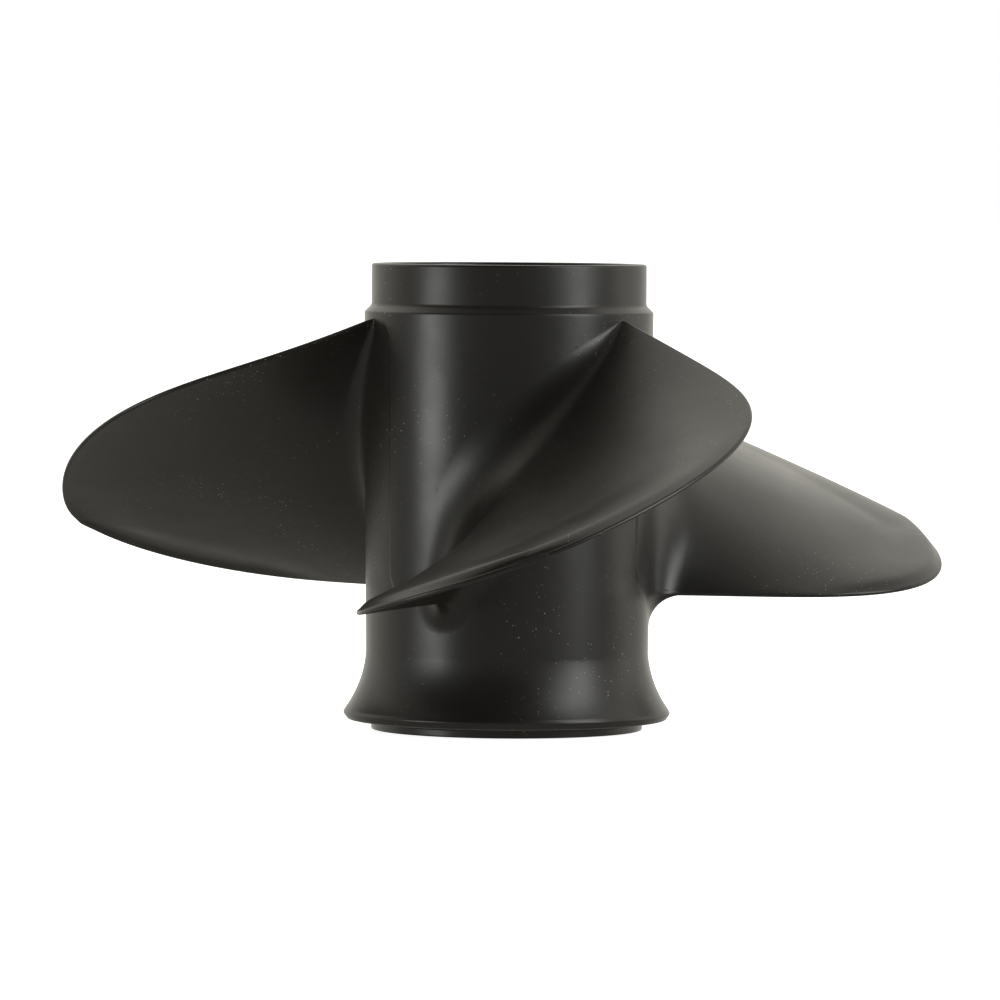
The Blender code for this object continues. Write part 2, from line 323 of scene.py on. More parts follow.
def boolean(target, cutter, operation):
    """Applies one Boolean to the target's mesh and removes the other object."""
    step = target.modifiers.new("cut", "BOOLEAN")
    step.operation = operation
    step.solver = "EXACT"
    step.object = cutter
    graph = bpy.context.evaluated_depsgraph_get()
    mesh = bpy.data.meshes.new_from_object(target.evaluated_get(graph))
    target.modifiers.remove(step)
    target.data = mesh
    bpy.data.objects.remove(cutter)


def prism(name, outline, bottom, top, bevel=0.0):
    """Extrudes a closed outline of (x, y) points, with its two rims bevelled."""
    builder = bmesh.new()
    floor = builder.faces.new([builder.verts.new((x, y, bottom)) for x, y in outline])
    raised = bmesh.ops.extrude_face_region(builder, geom=[floor])["geom"]
    lifted = [item for item in raised if isinstance(item, bmesh.types.BMVert)]
    bmesh.ops.translate(builder, verts=lifted, vec=(0.0, 0.0, top - bottom))
    if bevel:
        rims = [e for e in builder.edges if abs(e.verts[0].co.z - e.verts[1].co.z) < 1e-7]
        bmesh.ops.bevel(
            builder, geom=rims, offset=bevel, segments=3, profile=0.5, affect="EDGES", clamp_overlap=True
        )
    return from_builder(name, builder)


def turned_prism(name, outline, bottom, top, degrees, bevel=0.0):
    """A prism set at an angle about the shaft axis."""
    made = prism(name, outline, bottom, top, bevel)
    made.matrix_world = Matrix.Rotation(math.radians(degrees), 4, "Z")
    bpy.context.view_layer.update()
    return made


def key_angle(index):
    """Where one of the drive keys stands, in degrees from +X."""
    return FIRST_KEY_ANGLE + 360.0 / KEYS * index


def on_circle(radius, degrees):
    """The (x, y) point at an angle from +X."""
    return radius * math.cos(math.radians(degrees)), radius * math.sin(math.radians(degrees))


# ---------------------------------------------------------------- blades

def smoothstep(low, high, value):
    """0 below low, 1 above high, and a smooth rise between them."""
    t = np.clip((value - low) / (high - low), 0.0, 1.0)
    return t * t * (3 - 2 * t)


def outline_angles(span):
    """Trailing and leading edge angles in radians at a share of the span."""
    middle = FOOT_MIDDLE_ANGLE + (TIP_MIDDLE_ANGLE - FOOT_MIDDLE_ANGLE) * span**MIDDLE_POWER
    leading = middle + LEADING_SPREAD * (1 - span**LEADING_POWER) ** 2
    leading = leading + TIP_BLUNTNESS * (1 - span**BLUNTNESS_POWER) ** 0.5
    trailing = middle - TRAILING_SPREAD * (1 - span**TRAILING_POWER) ** 0.5
    return np.radians(trailing), np.radians(leading)


def section_loop():
    """One trip round a blade section: chord share, side, and the angle round the end caps."""
    quarter = [90.0 * i / CAP_POINTS for i in range(CAP_POINTS)]
    across = [(1 - math.cos(math.pi * i / FACE_POINTS)) / 2 for i in range(FACE_POINTS + 1)]
    trip = [(0.0, 1, cap) for cap in quarter]
    trip += [(share, 1, 90.0) for share in across]
    trip += [(1.0, 1, cap) for cap in quarter[::-1]]
    trip += [(share, -1, cap) for share, _, cap in trip[-2:0:-1]]
    shares, sides, caps = zip(*trip)
    return np.array(shares), np.array(sides), np.radians(caps)


LOOP_SHARE, LOOP_SIDE, LOOP_CAP = section_loop()


def fillet_radii():
    """Each loop point's root fillet: largest on the forward face, very small at the leading edge.

    A face's fillet grows from the trailing edge and tapers off towards the leading edge.
    """
    turn = np.sin(LOOP_CAP)
    face = np.where(LOOP_SIDE > 0, FORWARD_FILLET, AFT_FILLET)
    beside = face * (FILLET_START + (1 - FILLET_START) * smoothstep(0.0, FILLET_GROWTH, LOOP_SHARE))
    at_trailing = np.where(LOOP_SHARE == 0.0, (1 - turn) ** 0.7, 0.0)
    radii = beside + (TRAILING_FILLET - beside) * at_trailing
    left = np.clip((1 - LOOP_SHARE) / FILLET_TAPER, 0.0, 1.0)
    return LEADING_FILLET + (radii - LEADING_FILLET) * (1 - (1 - left) ** 1.3)


def blade_surface(radius, stand_off):
    """Angle and height of every loop point at its own radius, pushed out by stand_off."""
    reach = TIP_RADIUS - BLADE_FOOT
    span = np.clip((radius - BLADE_FOOT) / reach, 0.0, SPAN_END)
    step = 1e-5
    trailing, leading = outline_angles(span)
    trailing_next, leading_next = outline_angles(np.maximum(span - step, 0.0))
    pitch = TIP_PITCH + (FOOT_PITCH - TIP_PITCH) * (1 - span) ** 3
    helix = np.arctan2(pitch, math.tau * radius)
    chord = (leading - trailing) * radius / np.cos(helix)
    slope_t = radius * (trailing - trailing_next) / np.cos(helix) / (step * reach)
    slope_l = radius * (leading - leading_next) / np.cos(helix) / (step * reach)
    stretch_t = np.sqrt(1 + slope_t**2)
    stretch_l = np.sqrt(1 + slope_l**2)
    half = np.minimum(EDGE_HALF, EDGE_SHARE * chord)
    cap_t = np.minimum(half * stretch_t, CAP_SHARE * chord)
    cap_l = np.minimum(half * stretch_l, CAP_SHARE * chord)

    sine, cosine = np.sin(LOOP_CAP), np.cos(LOOP_CAP)
    at_trailing = (LOOP_SHARE == 0.0) & (cosine > 1e-9)
    at_leading = (LOOP_SHARE == 1.0) & (cosine > 1e-9)
    along = cap_t + (chord - cap_t - cap_l) * LOOP_SHARE
    along = np.where(at_trailing, cap_t * (1 - cosine), along)
    along = np.where(at_leading, chord - cap_l * (1 - cosine), along)
    thickness = TIP_THICKNESS + (FOOT_THICKNESS - TIP_THICKNESS) * (1 - span) ** THINNING_POWER
    thickness = np.minimum(thickness, half * 2 + CROWN_LIMIT * chord)
    crown = (thickness - 2 * half) * (4 * LOOP_SHARE * (1 - LOOP_SHARE)) ** CROWN_POWER
    across = LOOP_SIDE * half * sine + np.where(LOOP_SIDE > 0, crown, 0.0)

    edge_distance = np.minimum(along / stretch_t, (chord - along) / stretch_l)
    rise = smoothstep(0.0, CUP_WIDTH, edge_distance)
    fall = 1 - smoothstep(CUP_WIDTH, CUP_FADE_WIDTH, edge_distance)
    angle = trailing + along * np.cos(helix) / radius
    where = smoothstep(*CUP_SPANS, span) * (1 - smoothstep(*CUP_END_ANGLES, np.degrees(angle)))
    across = across + CUP_DEPTH * rise * fall * where

    out_along = np.where(LOOP_SHARE < 0.5, -cosine, cosine)
    out_across = LOOP_SIDE * sine
    along = along + stand_off * out_along
    across = across + stand_off * out_across
    angle = trailing + (along * np.cos(helix) - across * np.sin(helix)) / radius
    rake = (RAKE_LINEAR * span + RAKE_CURVED * span**2) * reach
    foot = HELIX_START - rake + pitch * trailing / math.tau
    height = foot + along * np.sin(helix) + across * np.cos(helix)
    return angle, height


def barrel_radius(height):
    """The drafted body's plain radius."""
    return WAIST_RADIUS + DRAFT * (height - FLARE_TOP)


def parting_step(angle, height):
    """The barrel's setback, a negative length, on one side of the mould's parting line."""
    degrees = np.degrees(angle)
    rise = np.clip((height - PART_TOP[0]) / (PART_TOP[1] - PART_TOP[0]), 0.0, 1.0)
    drop = np.clip((PART_FOOT[1] - height) / (PART_FOOT[1] - PART_FOOT[0]), 0.0, 1.0)
    line = PART_ANGLE - PART_TOP_SWEEP * (1 - np.sqrt(1 - rise**2)) + PART_FOOT_SWEEP * drop**2
    depth = PART_DEPTH * (1 - smoothstep(*PART_TOP_FADE, rise)) * (1 - smoothstep(*PART_FOOT_FADE, drop))
    total = 0.0
    for shift in (0.0, BLADE_STEP):
        distance = np.radians(line - degrees - shift) * WAIST_RADIUS
        near = smoothstep(-PART_HALF_WIDTH, PART_HALF_WIDTH, distance)
        far = 1 - smoothstep(*PART_RUN_OUT, distance)
        total = total + depth * near * far
    return -total


def body_radius(angle, height):
    """The drafted body's radius, with the parting steps in it."""
    return barrel_radius(height) + parting_step(angle, height)


def blade_rings():
    """Rings of (radius, angle, height) from the barrel's skin, round the root fillet, to the tip."""
    fillets = fillet_radii()
    rings = []
    height = np.full(LOOP_SHARE.shape, FIRST_HEIGHT)
    for step in range(FILLET_RINGS + 1):
        turn = math.pi / 2 * step / FILLET_RINGS
        away = fillets * (1 - math.cos(turn))
        stand_off = fillets * (1 - math.sin(turn))
        for _ in range(FILLET_ROUNDS):
            radius = barrel_radius(height) + away
            angle, height = blade_surface(radius, stand_off)
        setback = parting_step(angle, height) * (1 - step / FILLET_RINGS) ** 2
        rings.append((barrel_radius(height) + away + setback, angle, height))
    start = rings[-1][0]
    for step in range(1, BLADE_RINGS + 1):
        left = 1 - step / BLADE_RINGS
        share = 1 - left**TIP_CROWDING
        radius = start + (TIP_RADIUS - TIP_MARGIN - start) * share
        angle, height = blade_surface(radius, 0.0)
        rings.append((radius, angle, height))
    return rings


def cylinder_point(radius, angle, height, turn=0.0):
    """A point from its radius, height and angle, which is measured from -Y towards +X."""
    return radius * math.sin(angle + turn), -radius * math.cos(angle + turn), height


# ---------------------------------------------------------------- casting

def sector_columns():
    """Angles in degrees across one blade's third of the barrel, finer beside the parting step."""
    change = SECTOR_START + SECTOR_FINE_WIDTH
    fine = np.linspace(SECTOR_START, change, SECTOR_FINE, endpoint=False)
    coarse = np.linspace(change, SECTOR_START + BLADE_STEP, SECTOR_COARSE)
    return np.concatenate([fine, coarse])


def inside(outline, x, y):
    """Whether a point lies inside a closed outline."""
    hit = False
    for (x0, y0), (x1, y1) in zip(np.roll(outline, 1, axis=0), outline):
        if (y0 > y) != (y1 > y) and x < (x1 - x0) * (y - y0) / (y1 - y0) + x0:
            hit = not hit
    return hit


def body_zone(foot):
    """One third of the drafted body: its points as (angle, height), and triangles round the blade's foot.

    The triangles are made on the unrolled body in millimetres, x round the barrel and y along it.
    """
    columns = sector_columns()
    rows = np.linspace(BODY_BOTTOM, BODY_TOP, round((BODY_TOP - BODY_BOTTOM) / ROW_HEIGHT) + 1)
    last_i = len(columns) - 1
    last_j = len(rows) - 1
    arc = math.radians(1.0) * UNROLL_RADIUS * MILLIMETRES

    points = [Vector((a * arc, h * MILLIMETRES)) for a, h in zip(np.degrees(foot[1]), foot[2])]
    foot_xy = np.array([tuple(point) for point in points])
    count = len(points)
    edges = [(i, (i + 1) % count) for i in range(count)]
    border = {}
    for j, row in enumerate(rows):
        for i, column in enumerate(columns):
            x, y = column * arc, row * MILLIMETRES
            if i in (0, last_i) or j in (0, last_j):
                border[i, j] = len(points)
            else:
                near = np.min(np.hypot(foot_xy[:, 0] - x, foot_xy[:, 1] - y))
                if near < FOOT_CLEARANCE or inside(foot_xy, x, y):
                    continue
            points.append(Vector((x, y)))
    for i in range(last_i):
        edges += [(border[i, 0], border[i + 1, 0]), (border[i, last_j], border[i + 1, last_j])]
    for j in range(last_j):
        edges += [(border[0, j], border[0, j + 1]), (border[last_i, j], border[last_i, j + 1])]
    flat, _, faces, *_ = geometry.delaunay_2d_cdt(points, edges, [], 0, 1e-6)
    kept = []
    for face in faces:
        x = sum(flat[i].x for i in face) / len(face)
        y = sum(flat[i].y for i in face) / len(face)
        if not inside(foot_xy, x, y):
            kept.append(tuple(face))
    places = [(math.radians(p.x / arc), p.y / MILLIMETRES) for p in flat]
    return places, kept


def skin_profile():
    """From the body's top edge over the rim, down the bore, round the lip and up the flare."""
    corners = [
        (SHOULDER_RADIUS, BODY_TOP),
        (SHOULDER_RADIUS, SHOULDER_TOP),
        (RIM_RADIUS, RIM_BOTTOM),
        (RIM_RADIUS, LENGTH),
        (BORE_RADIUS, LENGTH),
        (BORE_RADIUS, 0.0),
        (LIP_RADIUS, 0.0),
        (LIP_RADIUS, LIP_HEIGHT),
        (FLARE_RADIUS - 0.0016, 0.0042),
        (FLARE_RADIUS + 0.0002, 0.0068),
        (FLARE_RADIUS - 0.0006, FLARE_END),
    ]
    radii = [0.0, 0.0017, 0.0022, 0.0012, 0.0014, 0.0010, 0.0006, 0.0005, 0.0012, 0.0012, 0.0]
    profile = rounded(corners, radii, 6)
    for step in range(FLARE_STEPS + 1):
        fall = (1 - step / FLARE_STEPS) * (FLARE_TOP - FLARE_END)
        spread = FLARE_SLOPE * fall + FLARE_ARC - math.sqrt(FLARE_ARC**2 - fall**2)
        profile.append((WAIST_RADIUS + spread, FLARE_TOP - fall))
    profile.append((barrel_radius(BODY_BOTTOM), BODY_BOTTOM))
    return profile


def skin_mesh():
    """The casting's whole outside and its plain bore, as one closed mesh."""
    builder = bmesh.new()
    rings = blade_rings()
    places, faces = body_zone(rings[0])
    count = len(LOOP_SHARE)
    for blade in range(BLADES):
        turn = math.tau * blade / BLADES
        verts = [builder.verts.new(cylinder_point(body_radius(a, h), a, h, turn)) for a, h in places]
        for face in faces:
            builder.faces.new([verts[i] for i in face])
        loops = [[builder.verts.new(cylinder_point(*spot, turn)) for spot in zip(*ring)] for ring in rings]
        bridge(builder, loops)
        tip = loops[-1]
        for i in range(count // 2):
            corners = [tip[i], tip[i + 1], tip[count - i - 1], tip[(count - i) % count]]
            corners = list(dict.fromkeys(corners))
            if len(corners) > 2:
                builder.faces.new(corners)
    third = np.radians(sector_columns()[:-1])
    angles = np.concatenate([third + math.tau * blade / BLADES for blade in range(BLADES)])
    circles = []
    for radius, height in skin_profile():
        circles.append([builder.verts.new(cylinder_point(radius, angle, height)) for angle in angles])
    bridge(builder, circles)
    return from_builder("casting_skin", builder, CASTING_SMOOTH_ANGLE)


def rounded_ends(corners, ends, reach):
    """Rounds the corners of a finely stepped outline that ends lists, and drops the points near them."""
    points = [Vector(corner) for corner in corners]
    made = []
    count = len(points)
    for i, point in enumerate(points):
        if i not in ends:
            if all((point - points[j]).length >= reach for j in ends):
                made.append(corners[i])
            continue
        before, after = i - 1, (i + 1) % count
        while (points[before] - point).length < reach:
            before -= 1
        while (points[after] - point).length < reach:
            after = (after + 1) % count
        start = point + (points[before] - point).normalized() * reach
        end = point + (points[after] - point).normalized() * reach
        made += corner_curve(start, point, end, 6)
    return made


def passage_outlines():
    """The three exhaust passages' outlines between the ribs, with rounded corners."""
    outlines = []
    outer = BORE_RADIUS - 0.0002
    ends = (0, PASSAGE_STEPS, PASSAGE_STEPS + 1, 2 * PASSAGE_STEPS + 1)
    for middle in PASSAGE_ANGLES:
        corners = []
        for radius, sign in ((outer, 1), (HUB_RADIUS, -1)):
            edge = 60.0 - math.degrees(math.asin(RIB_HALF / radius))
            for i in range(PASSAGE_STEPS + 1):
                corners.append(on_circle(radius, middle + sign * edge * (2 * i / PASSAGE_STEPS - 1)))
        outlines.append(rounded_ends(corners, ends, RIB_FILLET))
    return outlines


def make_casting():
    """The painted casting: outer skin joined to the inner hub and its three ribs."""
    casting = skin_mesh()
    corners = [
        (SOCKET_RADIUS, HUB_FRONT),
        (BORE_RADIUS + WEB_OVERLAP, HUB_FRONT - 0.0001),
        (BORE_RADIUS + WEB_OVERLAP, HUB_AFT),
        (SEAT_BORE, HUB_AFT),
        (SEAT_BORE, HUB_SEAT),
        (SOCKET_RADIUS, HUB_SEAT),
    ]
    web = turned("web", rounded(corners, [0.0008, 0.0, 0.0, 0.0008, 0.0005, 0.0]), 144)
    top = HUB_FRONT + CUT_CLEAR
    for index, outline in enumerate(passage_outlines()):
        boolean(web, prism(f"passage_{index}", outline, HUB_AFT - CUT_CLEAR, top), "DIFFERENCE")
    half = KEY_WIDTH / 2
    root = SOCKET_RADIUS - 0.003
    tip = SOCKET_RADIUS + KEY_HEIGHT
    keyway = rounded([(root, -half), (tip, -half), (tip, half), (root, half)], [0, 0.001, 0.001, 0])
    for index in range(KEYS):
        cutter = turned_prism(f"keyway_{index}", keyway, HUB_SEAT, top, key_angle(index))
        boolean(web, cutter, "DIFFERENCE")
    boolean(casting, web, "UNION")
    smooth(casting.data, CASTING_SMOOTH_ANGLE)
    return casting


# ---------------------------------------------------------------- drive hub and fasteners

def make_ring(name, radius, bore, top, bottom, edge):
    """A plain turned ring with rounded edges."""
    corners = [(bore, top), (radius, top), (radius, bottom), (bore, bottom)]
    return turned(name, rounded(corners, edge, 3))


def make_housing():
    """The drive hub's shell with its four keys."""
    outer = SOCKET_RADIUS - GAP
    inner = outer - HOUSING_WALL
    housing = make_ring("housing", outer, inner, HOUSING_FRONT, HOUSING_AFT, 0.0006)
    half = KEY_WIDTH / 2 - GAP
    root = outer - HOUSING_WALL / 2
    tip = outer + KEY_HEIGHT
    outline = rounded([(root, -half), (tip, -half), (tip, half), (root, half)], [0, 0.0009, 0.0009, 0])
    top = HOUSING_FRONT - 0.001
    for index in range(KEYS):
        key = turned_prism(f"key_{index}", outline, HOUSING_AFT, top, key_angle(index), 0.0004)
        boolean(housing, key, "UNION")
    smooth(housing.data)
    return housing


def make_cushion():
    """The bonded rubber ring, dished at both ends."""
    outer = SOCKET_RADIUS - GAP - HOUSING_WALL - GAP
    inner = SLEEVE_RADIUS + GAP
    middle = (outer + inner) / 2
    front = HOUSING_FRONT - CUSHION_SETBACK
    aft = HOUSING_AFT + CUSHION_SETBACK
    corners = [
        (inner, front),
        (middle, front - CUSHION_DISH),
        (outer, front),
        (outer, aft),
        (middle, aft + CUSHION_DISH),
        (inner, aft),
    ]
    return turned("cushion", rounded(corners, [0.0008, 0.0030, 0.0008, 0.0008, 0.0030, 0.0008]))


def make_sleeve():
    """The splined sleeve, with a lead-in at each end of its splines."""
    corners = [
        (SLEEVE_BLANK_BORE, SLEEVE_FRONT),
        (SLEEVE_RADIUS, SLEEVE_FRONT),
        (SLEEVE_RADIUS, SLEEVE_AFT),
        (SLEEVE_BLANK_BORE, SLEEVE_AFT),
    ]
    sleeve = turned("sleeve", rounded(corners, [0, 0.0007, 0.0007, 0], 3))
    outline = []
    pitch = 360.0 / SPLINES
    tooth = ((0.05, SPLINE_ROOT), (0.45, SPLINE_ROOT), (0.55, SPLINE_TIP), (0.95, SPLINE_TIP))
    for index in range(SPLINES):
        for share, radius in tooth:
            outline.append(on_circle(radius, (index + share) * pitch))
    outline = rounded(outline, 0.0004, 2)
    broach = prism("broach", outline, SLEEVE_AFT - CUT_CLEAR, SLEEVE_FRONT + CUT_CLEAR)
    boolean(sleeve, broach, "DIFFERENCE")
    for end, out in ((SLEEVE_FRONT, 1), (SLEEVE_AFT, -1)):
        lead = [
            (0.0020, end + out * TURN_CLEAR),
            (SPLINE_ROOT + 0.0026, end + out * TURN_CLEAR),
            (SPLINE_TIP, end - out * 0.0021),
            (0.0020, end - out * 0.0021),
        ]
        boolean(sleeve, turned("lead_in", lead), "DIFFERENCE")
    smooth(sleeve.data)
    return sleeve


def make_thrust_washer():
    """The tapered collar that bears on the shaft's shoulder, with one turned groove."""
    back = SLEEVE_FRONT + GAP
    groove = back + GROOVE_OFFSET
    corners = [
        (THRUST_BORE, THRUST_FRONT),
        (THRUST_NOSE_RADIUS, THRUST_FRONT),
        (THRUST_RADIUS, back + THRUST_STRAIGHT),
        (THRUST_RADIUS, groove + GROOVE_HALF),
        (THRUST_RADIUS - GROOVE_HALF, groove),
        (THRUST_RADIUS, groove - GROOVE_HALF),
        (THRUST_RADIUS, back),
        (THRUST_BORE, back),
    ]
    radii = [0.0005, 0.0007, 0.0007, 0, 0, 0, 0.0005, 0.0005]
    return turned("thrust_washer", rounded(corners, radii, 3))


def make_nut():
    """The castle nut: chamfered hexagon, slotted crown and a threaded bore."""
    corner = NUT_ACROSS_FLATS / math.sqrt(3)
    flat = NUT_ACROSS_FLATS / 2
    hex_bottom = NUT_TOP - NUT_HEX_HEIGHT
    face = flat - NUT_FACE_INSET
    chamfer = (corner - face) * math.tan(math.radians(NUT_CHAMFER_ANGLE))
    nut = prism("nut", [on_circle(corner, 60.0 * side) for side in range(6)], hex_bottom, NUT_TOP)
    lathe = [
        (0.0040, NUT_TOP),
        (face, NUT_TOP),
        (corner, NUT_TOP - chamfer),
        (corner, hex_bottom + chamfer),
        (face, hex_bottom),
        (0.0040, hex_bottom),
    ]
    boolean(nut, turned("lathe", lathe), "INTERSECT")
    crown = [
        (0.0040, NUT_TOP - 0.004),
        (CROWN_RADIUS, NUT_TOP - 0.004),
        (CROWN_RADIUS, CROWN_BOTTOM),
        (0.0040, CROWN_BOTTOM),
    ]
    boolean(nut, turned("crown", rounded(crown, [0, 0, 0.0012, 0], 4)), "UNION")
    tap_bottom = CROWN_BOTTOM - TURN_CLEAR
    tap_top = NUT_TOP + TURN_CLEAR
    tap = [(0.0020, tap_top), (0.0020, tap_bottom)]
    for index in range(math.ceil((tap_top - tap_bottom) / THREAD_PITCH)):
        height = tap_bottom + index * THREAD_PITCH
        tap += [(NUT_BORE, height), (NUT_BORE + THREAD_DEPTH, height + THREAD_PITCH / 2)]
    boolean(nut, turned("tap", tap, 96), "DIFFERENCE")
    half = SLOT_WIDTH / 2
    outline = [(-0.03, -half), (0.03, -half), (0.03, half), (-0.03, half)]
    bottom, top = CROWN_BOTTOM - CUT_CLEAR, CROWN_BOTTOM + SLOT_DEPTH
    for index in range(SLOTS_ACROSS):
        slot = turned_prism(f"slot_{index}", outline, bottom, top, 180.0 / SLOTS_ACROSS * index)
        boolean(nut, slot, "DIFFERENCE")
    smooth(nut.data, NUT_SMOOTH_ANGLE)
    return nut


def softened(route, rounds=3):
    """Cuts the corners of an open route of (x, y) points, keeping its two ends."""
    points = [Vector(p) for p in route]
    for _ in range(rounds):
        cut = [points[0]]
        for a, b in zip(points, points[1:]):
            cut += [a.lerp(b, 0.25), a.lerp(b, 0.75)]
        points = cut + [points[-1]]
    return points


def make_cotter_pin():
    """A split pin of half-round wire: bent leg, shank, eye, shank again and a short leg."""
    reach = CROWN_RADIUS + 0.0012
    eye = -reach - PIN_EYE_RADIUS
    loop = PIN_EYE_RADIUS - PIN_RADIUS
    neck = (eye + PIN_NECK, 0.0)
    route = [(0.0148, 0.0095), (0.0163, 0.0050), (0.0160, 0.0008), (reach, 0.0), neck]
    for step in range(PIN_EYE_STEPS + 1):
        angle = math.radians(35.0 + step * 290.0 / PIN_EYE_STEPS)
        route.append((eye + loop * math.cos(angle), loop * math.sin(angle)))
    route += [neck, (reach, 0.0), (0.0160, -0.0006), (0.0168, -0.0020)]
    points = softened(route)
    builder = bmesh.new()
    rings = []
    for index, point in enumerate(points):
        along = (points[min(index + 1, len(points) - 1)] - points[max(index - 1, 0)]).normalized()
        side = Vector((along.y, -along.x))
        ring = []
        for step in range(PIN_SIDES + 1):
            angle = math.radians(-90.0 + 180.0 * step / PIN_SIDES)
            out = point + side * (PIN_RADIUS * math.cos(angle) + PIN_SPLIT)
            ring.append(builder.verts.new((out.x, out.y, PIN_HEIGHT + PIN_RADIUS * math.sin(angle))))
        rings.append(ring)
    bridge(builder, rings)
    builder.faces.new(rings[0])
    builder.faces.new(rings[-1])
    return from_builder("split_pin", builder, PIN_SMOOTH_ANGLE)


# ---------------------------------------------------------------- materials

def add_node(tree, kind, inputs=None, **settings):
    """Adds a node with its settings, and links or sets each of its inputs."""
    node = tree.nodes.new(kind)
    for key, value in settings.items():
        setattr(node, key, value)
    for key, value in (inputs or {}).items():
        if isinstance(value, bpy.types.NodeSocket):
            tree.links.new(value, node.inputs[key])
        else:
            node.inputs[key].default_value = value
    return node


def add_ramp(tree, value, low, high, to_low, to_high, **settings):
    """Adds a node that maps a value from one range to another."""
    inputs = {"Value": value, "From Min": low, "From Max": high, "To Min": to_low, "To Max": to_high}
    return add_node(tree, "ShaderNodeMapRange", inputs, **settings).outputs["Result"]


class Nodes:
    """Short calls for building one material's node tree."""

    def __init__(self, name):
        self.material = bpy.data.materials.new(name)
        self.material.use_nodes = True
        self.tree = self.material.node_tree
        self.shader = self.tree.nodes["Principled BSDF"]
        self.place = self.add("ShaderNodeTexCoord").outputs["Object"]

    def add(self, kind, inputs=None, **settings):
        return add_node(self.tree, kind, inputs, **settings)

    def noise(self, scale, detail=3.0, place=None):
        """Noise over the object's own coordinates, unless a place is given."""
        inputs = {"Vector": place or self.place, "Scale": scale, "Detail": detail}
        return self.add("ShaderNodeTexNoise", inputs).outputs["Fac"]

    def span(self, value, low, high, to_low, to_high):
        """Maps a value from one range to another."""
        return add_ramp(self.tree, value, low, high, to_low, to_high)

    def mix(self, share, first, second):
        """Mixes two colours, each a socket or three numbers."""
        made = self.add("ShaderNodeMix", {"Factor": share}, data_type="RGBA")
        for socket, value in ((made.inputs[6], first), (made.inputs[7], second)):
            if isinstance(value, bpy.types.NodeSocket):
                self.tree.links.new(value, socket)
            else:
                socket.default_value = (*value, 1.0)
        return made.outputs[2]

    def bump(self, height, distance, normal=None):
        """Turns a height into a normal, on top of another bump if one is given."""
        inputs = {"Height": height, "Distance": distance, "Strength": 1.0}
        if normal:
            inputs["Normal"] = normal
        return self.add("ShaderNodeBump", inputs).outputs["Normal"]

    def finish(self, **sockets):
        """Sets the shader's sockets, named with underscores for spaces."""
        for key, value in sockets.items():
            socket = self.shader.inputs[key.replace("_", " ")]
            if isinstance(value, bpy.types.NodeSocket):
                self.tree.links.new(value, socket)
            else:
                socket.default_value = value
        return self.material


def paint_material():
    """Satin black enamel over cast aluminium, with faint orange peel and a few specks of dust."""
    n = Nodes("satin_black_enamel")
    tone = n.span(n.noise(22.0, 4.0), 0.3, 0.7, 0.0, 1.0)
    colour = n.mix(tone, (0.0056, 0.0052, 0.0042), (0.0074, 0.0069, 0.0056))
    cells = n.add("ShaderNodeTexVoronoi", {"Vector": n.place, "Scale": DUST_SCALE}, feature="F1")
    size = n.add("ShaderNodeSeparateColor", {"Color": cells.outputs["Color"]}).outputs["Red"]
    patches = n.span(n.noise(16.0, 3.0), 0.38, 0.62, 0.55, 1.0)
    share = n.add("ShaderNodeMath", {0: size, 1: patches}, operation="MULTIPLY").outputs["Value"]
    radius = n.span(share, DUST_THRESHOLD, 1.0, 0.0, DUST_RADIUS)
    speck = n.add("ShaderNodeMath", {0: cells.outputs["Distance"], 1: radius}, operation="LESS_THAN")
    colour = n.mix(speck.outputs["Value"], colour, DUST_COLOUR)
    roughness = n.span(n.noise(35.0, 5.0), 0.25, 0.75, 0.33, 0.41)
    casting = n.bump(n.noise(55.0, 2.0), 0.00012)
    peel = n.bump(n.noise(1400.0, 2.0), 0.000010, normal=casting)
    return n.finish(Base_Color=colour, Roughness=roughness, Normal=peel, Specular_IOR_Level=0.5)


def metal_material(name, dark, light, low, high):
    """A machined metal with fine marks round the shaft axis.

    Its tone wanders from dark to light, and its roughness from low to high.
    """
    n = Nodes(name)
    parts = n.add("ShaderNodeSeparateXYZ", {"Vector": n.place}).outputs
    flat = n.add("ShaderNodeCombineXYZ", {"X": parts["X"], "Y": parts["Y"], "Z": 0.0}).outputs["Vector"]
    radius = n.add("ShaderNodeVectorMath", {0: flat}, operation="LENGTH").outputs["Value"]
    groove = n.add("ShaderNodeCombineXYZ", {"X": radius, "Y": 0.0, "Z": parts["Z"]}).outputs["Vector"]
    marks = n.noise(2600.0, place=groove)
    stain = n.span(n.noise(70.0, 5.0), 0.35, 0.65, 0.0, 1.0)
    colour = n.mix(stain, dark, light)
    roughness = n.span(n.noise(180.0, 4.0), 0.3, 0.7, low, high)
    normal = n.bump(marks, 0.000012)
    return n.finish(Base_Color=colour, Roughness=roughness, Normal=normal, Metallic=1.0)


def rubber_material():
    """Dull moulded rubber with a fine grain."""
    n = Nodes("moulded_rubber")
    colour = n.mix(n.noise(120.0, 5.0), (0.012, 0.012, 0.012), (0.030, 0.029, 0.028))
    normal = n.bump(n.noise(1600.0, 3.0), 0.00006)
    return n.finish(Base_Color=colour, Roughness=0.72, Normal=normal)


# ---------------------------------------------------------------- studio

def make_floor():
    """A white floor just under the lip, left out of the reflections."""
    bpy.ops.mesh.primitive_plane_add(size=80.0, location=(0.0, 0.0, -FLOOR_GAP))
    floor = bpy.context.object
    floor.name = "floor"
    n = Nodes("pale_floor")
    white = (1.0, 1.0, 1.0, 1.0)
    n.finish(Base_Color=(0.9, 0.9, 0.9, 1.0), Roughness=0.9, Specular_IOR_Level=0.1)
    n.finish(Emission_Color=white, Emission_Strength=0.92)
    floor.data.materials.append(n.material)
    floor.visible_glossy = False


